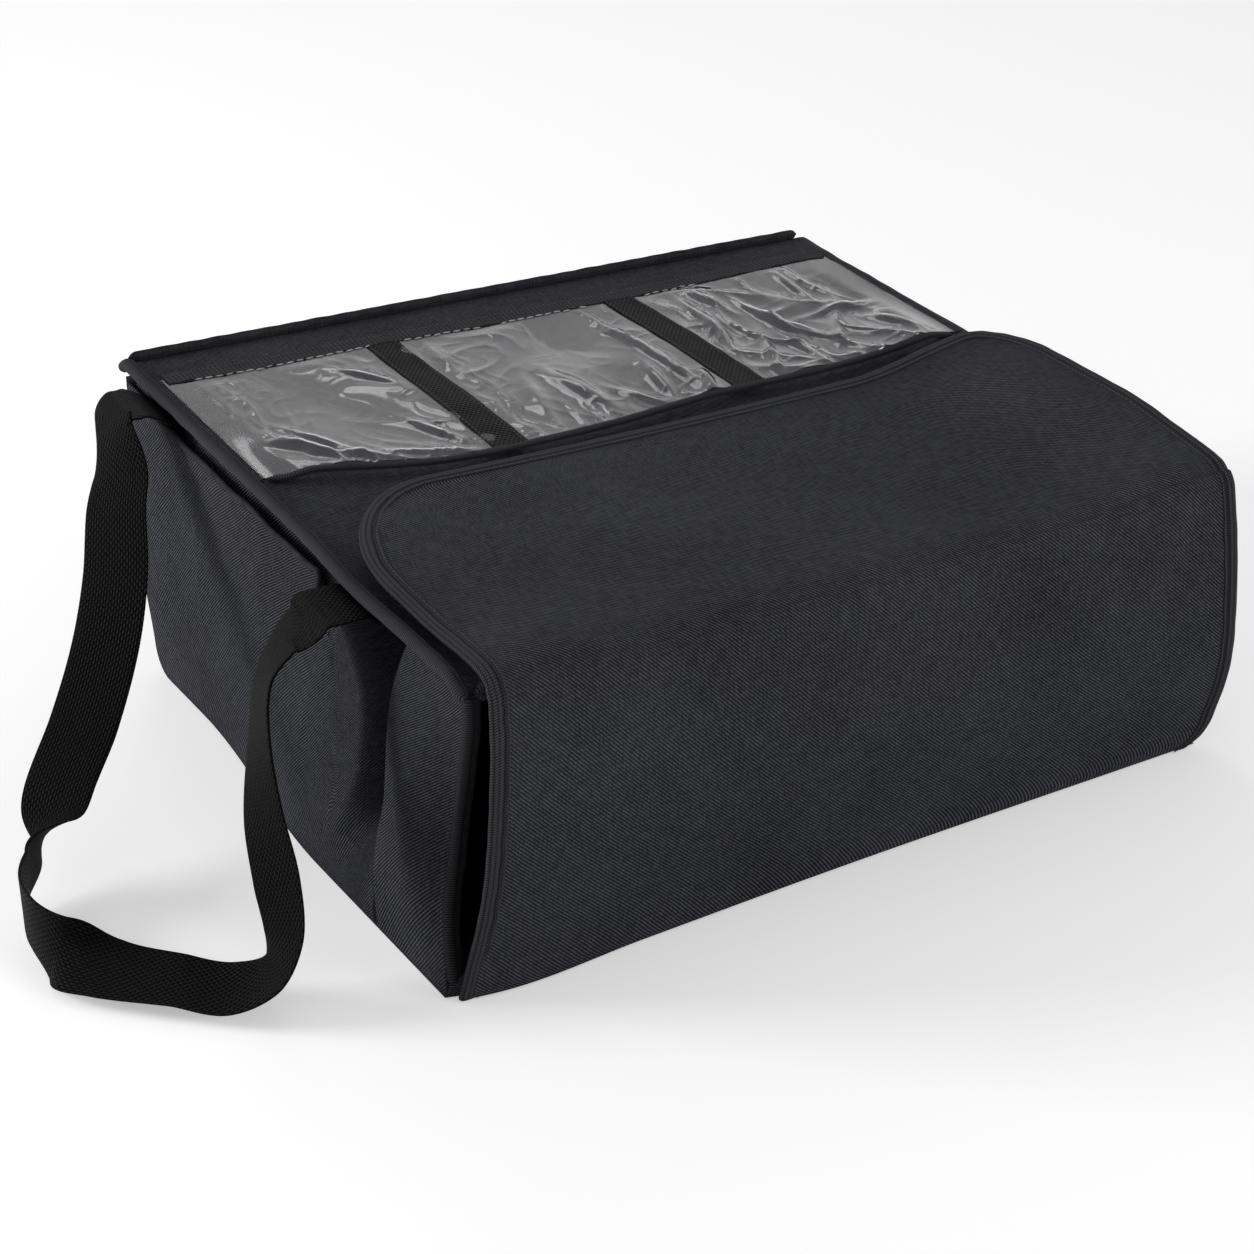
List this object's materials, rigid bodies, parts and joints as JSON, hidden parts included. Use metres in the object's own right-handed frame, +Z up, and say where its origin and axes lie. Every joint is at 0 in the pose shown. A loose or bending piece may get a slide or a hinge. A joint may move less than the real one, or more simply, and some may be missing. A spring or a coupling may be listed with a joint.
{
  "type": "insulated delivery bag",
  "caption": "Soft-sided insulated delivery bag: padded box with a hinged front flap over its open mouth, clear ticket pockets on top and webbing carry handles at the sides.",
  "frame": {"origin": "on the underside of the bag, midway between its sides, 206.5 mm behind the mouth's edge", "axes": "+X to the bag's right seen from the front, +Y from the mouth to the back, +Z up"},
  "size_m": [0.8061, 0.4723, 0.2184],
  "materials": {
    "oxford": "matte woven",
    "tape": "matte woven binding",
    "webbing": "ribbed webbing",
    "foam": "closed-cell foam",
    "lining": "smooth coated lining",
    "clear_vinyl": "clear flexible sheet",
    "hook_loop": "hook and loop pile"
  },
  "bodies": {
    "bag": {"bottom_panel": "oxford", "bottom_foam": "foam", "bottom_lining": "lining", "back_panel": "oxford", "back_foam": "foam", "back_lining": "lining", "top_panel": "oxford", "top_foam": "foam", "top_lining": "lining", "left_side_sleeve": "oxford", "left_front_gusset": "oxford", "left_side_wall": "oxford", "left_side_foam": "foam", "left_side_lining": "lining", "right_side_sleeve": "oxford", "right_front_gusset": "oxford", "right_side_wall": "oxford", "right_side_foam": "foam", "right_side_lining": "lining", "left_top_piping": "tape", "right_top_piping": "tape", "mouth_binding_left": "tape", "mouth_binding_right": "tape", "mouth_binding_top": "tape", "pocket_window_left": "clear_vinyl", "pocket_window_middle": "clear_vinyl", "pocket_window_right": "clear_vinyl", "pocket_divider_left": "webbing", "pocket_divider_right": "webbing", "pocket_back_tape": "tape", "pocket_front_tape": "tape", "pocket_left_tape": "tape", "pocket_right_tape": "tape", "top_loop_strip": "hook_loop", "left_rear_webbing_end": "webbing", "left_front_webbing_end": "webbing", "right_rear_webbing_end": "webbing", "right_front_webbing_end": "webbing"},
    "flap_front": {"flap_front_panel": "oxford", "flap_front_foam": "foam", "flap_front_lining": "lining", "flap_front_left_binding": "tape", "flap_front_right_binding": "tape"},
    "flap_top": {"flap_top_panel": "oxford", "flap_top_foam": "foam", "flap_top_lining": "lining", "flap_top_binding": "tape", "flap_hook_strip": "hook_loop"},
    "left_handle": {"left_handle_webbing": "webbing"},
    "right_handle": {"right_handle_webbing": "webbing"}
  },
  "joints": [
    {"name": "flap_front_hinge", "type": "hinge", "parent": "bag", "child": "flap_front", "pos_m": [0, -0.2232, 0.003], "axis": [1, 0, 0], "range_deg": [0, 75]},
    {"name": "flap_top_hinge", "type": "hinge", "parent": "flap_front", "child": "flap_top", "pos_m": [0.0035, -0.22975, 0.1902], "axis": [1, 0, -0.0078], "range_deg": [0, 90]},
    {"name": "left_handle_hinge", "type": "hinge", "parent": "bag", "child": "left_handle", "pos_m": [-0.279, 0.0315, 0.20069], "axis": [0, 0.9965, 0.0834], "range_deg": [0, 130]},
    {"name": "right_handle_hinge", "type": "hinge", "parent": "bag", "child": "right_handle", "pos_m": [0.269, 0.0315, 0.17489], "axis": [0, -0.9996, -0.029], "range_deg": [0, 165]}
  ]
}
